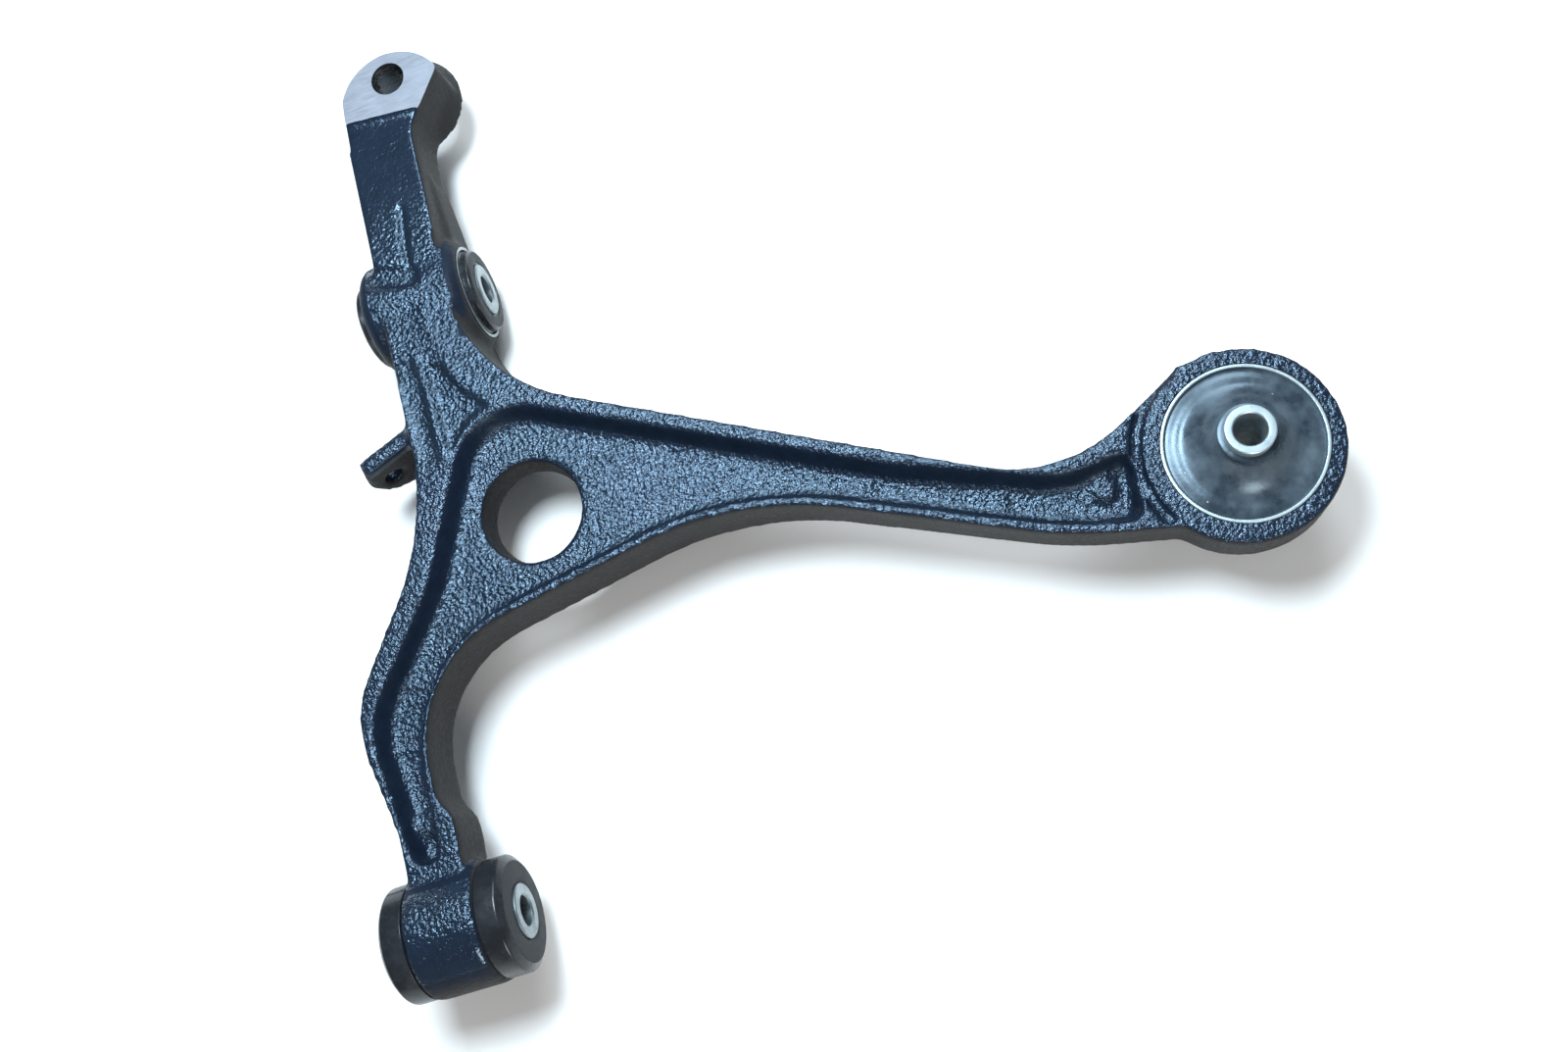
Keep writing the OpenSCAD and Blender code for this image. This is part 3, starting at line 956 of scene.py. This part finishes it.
class ARM_OT_fork_bush(Operator):
    """Moulded rubber and plated sleeves of the damper fork's bush"""

    bl_idname = "arm.fork_bush"
    bl_label = "Fork bush"

    def execute(self, context):
        half = node_size("fork_rubber").x / 2 / MM
        outer = node_size("fork_outer_sleeve").y / 2 / MM
        can_half = node_size("fork_outer_sleeve").x / 2 / MM
        inner = node_size("fork_inner_sleeve").y / 2 / MM
        core = outer - 1.8
        nose = core - 0.7
        bond = inner + 0.03
        side = [
            (bond, half - 0.9, 0), (inner + 0.8, half - 0.5, 0.2), (inner + 1.8, half - 0.1, 0.5),
            (nose - 1.6, half - 0.3, 0.6), (nose - 0.2, half - 1.4, 0.7), (nose - 0.5, can_half + 0.2, 0.4),
            (core, can_half - 1.2, 0), (core, can_half - 3.0, 0),
        ]
        section = [(r, -z, fillet) for r, z, fillet in side] + list(reversed(side))
        rubber = turned("fork_rubber_moulding", section, FORK_AT, "X")
        paint_bush(rubber)
        finish_piece(rubber, "arm", "black_rubber", "fork_rubber")
        can = turned(
            "fork_can",
            [(core, -can_half, 0.3), (outer - 0.4, -can_half, 0.3), (outer, -can_half + 1.0, 0.5),
             (outer, can_half - 1.0, 0.5), (outer - 0.4, can_half, 0.3), (core, can_half, 0.3)],
            FORK_AT, "X",
        )
        paint(can, "Worn zinc", "Cast side")
        # The can's outer face takes the dark cast side paint; its browner tone on steep faces is painted
        # shade and reflection.
        for face in can.data.polygons:
            away = Vector((0, face.center.y - FORK_AT.y, face.center.z - FORK_AT.z))
            face.material_index = int(face.normal.dot(away) > 0 and away.length > (outer - 0.2) * MM)
        finish_piece(can, "arm", "zinc_sleeve", "fork_outer_sleeve")
        sleeve_half = node_size("fork_inner_sleeve").x / 2 / MM
        sleeve = turned("fork_sleeve", sleeve_section(inner, FORK_BOLT, sleeve_half, 0.8), FORK_AT, "X")
        paint(sleeve, "Worn zinc")
        finish_piece(sleeve, "fork_core", "zinc_sleeve", "fork_inner_sleeve")
        return {"FINISHED"}


class ARM_OT_compliance_bush(Operator):
    """Can, rubber dishes and centre sleeve of the upright liquid-filled bush"""

    bl_idname = "arm.compliance_bush"
    bl_label = "Compliance bush"

    def execute(self, context):
        outer = node_size("compliance_outer_sleeve").x / 2 / MM
        half = node_size("compliance_outer_sleeve").z / 2 / MM
        inner = node_size("compliance_inner_sleeve").x / 2 / MM
        wall = 1.8
        can = turned(
            "compliance_can",
            [(outer - wall - 2.2, -half, 0.3), (outer - 0.6, -half, 0.8), (outer, -half + 1.4, 0.8),
             (outer, half - 0.9, 0.3), (outer - 0.5, half, 0.3), (outer - wall + 0.3, half, 0.25),
             (outer - wall, half - 0.5, 0.2), (outer - wall, -half + wall, 0.3),
             (outer - wall - 2.2, -half + wall, 0.3)],
            EYE_AT,
        )
        paint(can, "Zinc plate")
        finish_piece(can, "arm", "zinc_sleeve", "compliance_outer_sleeve")
        for name, flip in (("compliance_upper_dish", False), ("compliance_lower_dish", True)):
            self.dish(name, flip, outer - wall, half, inner)
        sleeve_half = node_size("compliance_inner_sleeve").z / 2 / MM
        section = sleeve_section(inner, COMPLIANCE_BOLT, sleeve_half, 0.5)
        sleeve = turned("compliance_sleeve", section, CORE_AT)
        paint(sleeve, "Zinc plate")
        finish_piece(sleeve, "compliance_core", "zinc_sleeve", "compliance_inner_sleeve")
        paint(NODES["compliance_window_sleeve"], "Zinc plate")
        paint(NODES["compliance_orifice_half_inner"], "Orifice nylon")
        paint(NODES["compliance_orifice_half_outer"], "Orifice nylon")
        paint(NODES["compliance_bump_stop"], "Stop nylon")
        return {"FINISHED"}

    def dish(self, name, flip, can_r, half, inner):
        """A trumpet-shaped rubber wall from the can up to a thin collar round the sleeve."""
        bond = inner + 0.03
        edge = can_r - 0.1
        rim = half - 1.1
        top = half + 13.4
        steps = 26
        start = edge - 0.5
        crown = inner + 2.3
        upper = []
        for step in range(steps + 1):
            t = step / steps
            bulge = 0.35 * math.sin(math.pi * min(1, t / 0.35)) ** 2
            rise = 12.7 * (0.22 * t + 0.78 * t**3.2) + bulge
            upper.append((start - (start - crown) * t, rim - 0.5 + rise, 0))
        under = [(bond, half - 1.0, 0), (inner + 3, half - 4.0, 1.5), (edge - 6, half - 8.5, 2),
                 (edge, half - 9.5, 0)]
        section = [
            *under, (edge, rim, 0), *upper,
            (inner + 1.9, top - 0.3, 0), (inner + 1.2, top, 0), (bond, top, 0),
        ]
        obj = turned(name, section, EYE_AT, flip=flip)
        paint(obj, "Bloomed rubber")
        settle(obj)
        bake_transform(obj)
        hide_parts("compliance_rubber")


# ---- The studio -----------------------------------------------------------


class ARM_OT_studio(Operator):
    """Plain pale floor, soft lights and the camera"""

    bl_idname = "arm.studio"
    bl_label = "Studio"

    def execute(self, context):
        studio = settings()[2]
        self.floor(studio)
        self.camera(studio)
        self.light("Key", (0.11, 0.37, 0.75), (0.18, 0.13, 0), 0.34, 12.0, (0.72, 0.88, 1.0))
        self.light("North", (0.62, 1.20, 0.85), (0.20, 0.20, 0), 0.60, 11, (0.76, 0.90, 1.0))
        self.light("Front", (0.30, -1.90, 0.95), (0.18, 0.15, 0), 1.0, 26, (1.0, 1.0, 1.0))
        context.scene.view_settings.view_transform = "Standard"
        world = bpy.data.worlds.new("Studio")
        world.use_nodes = True
        background = world.node_tree.nodes["Background"]
        background.inputs["Color"].default_value = (0.80, 0.90, 1.0, 1)
        background.inputs["Strength"].default_value = 0.26
        context.scene.world = world
        return {"FINISHED"}

    def floor(self, studio):
        deselect()
        low = CAD_BOX[0].z
        bpy.ops.mesh.primitive_plane_add(size=6, location=(0.18, 0.15, low - 1 * MM))
        floor = settle(bpy.context.active_object)
        floor.name = "floor"
        f = Finish("Floor paint", Roughness=0.85)
        f.colour(f.mix(f.noise(0.4, 3, 0.5), studio.floor, tuple(0.985 * c for c in studio.floor)))
        floor.data.materials.append(f.material)

    def camera(self, studio):
        data = bpy.data.cameras.new("Camera")
        data.sensor_width = 36
        data.lens = studio.lens
        data.clip_start = 0.01
        camera = bpy.data.objects.new("Camera", data)
        camera.location = studio.camera_at
        camera.rotation_euler = studio.camera_turn
        bpy.context.scene.collection.objects.link(camera)
        bpy.context.scene.camera = camera

    def light(self, name, at, target, size, power, tint):
        data = bpy.data.lights.new(name, "AREA")
        data.shape = "DISK"
        data.size = size
        data.energy = power
        data.color = tint
        light = bpy.data.objects.new(name, data)
        light.location = at
        aim = Vector(target) - Vector(at)
        light.rotation_euler = aim.to_track_quat("-Z", "Y").to_euler()
        bpy.context.scene.collection.objects.link(light)


class ARM_PT_panel(Panel):
    """Lists the steps that build the control arm"""

    bl_idname = "ARM_PT_panel"
    bl_label = "Control Arm"
    bl_space_type = "VIEW_3D"
    bl_region_type = "UI"
    bl_category = "Control Arm"

    def draw(self, context):
        for step in STEPS:
            self.layout.operator(step.bl_idname)
        for group in settings():
            box = self.layout.box()
            for key in type(group).__annotations__:
                box.prop(group, key)


STEPS = (ARM_OT_studio, ARM_OT_casting, ARM_OT_pivot_bush, ARM_OT_fork_bush, ARM_OT_compliance_bush)
CLASSES = (CastingSettings, BushSettings, StudioSettings, *STEPS, ARM_PT_panel)


def register():
    for cls in CLASSES:
        bpy.utils.register_class(cls)
    bpy.types.Scene.arm_casting = PointerProperty(type=CastingSettings)
    bpy.types.Scene.arm_bushes = PointerProperty(type=BushSettings)
    bpy.types.Scene.arm_studio = PointerProperty(type=StudioSettings)


def unregister():
    del bpy.types.Scene.arm_studio
    del bpy.types.Scene.arm_bushes
    del bpy.types.Scene.arm_casting
    for cls in reversed(CLASSES):
        bpy.utils.unregister_class(cls)


def main():
    register()
    bpy.ops.arm.studio()
    bpy.ops.arm.casting()
    bpy.ops.arm.pivot_bush()
    bpy.ops.arm.fork_bush()
    bpy.ops.arm.compliance_bush()


if __name__ == "__main__":
    main()
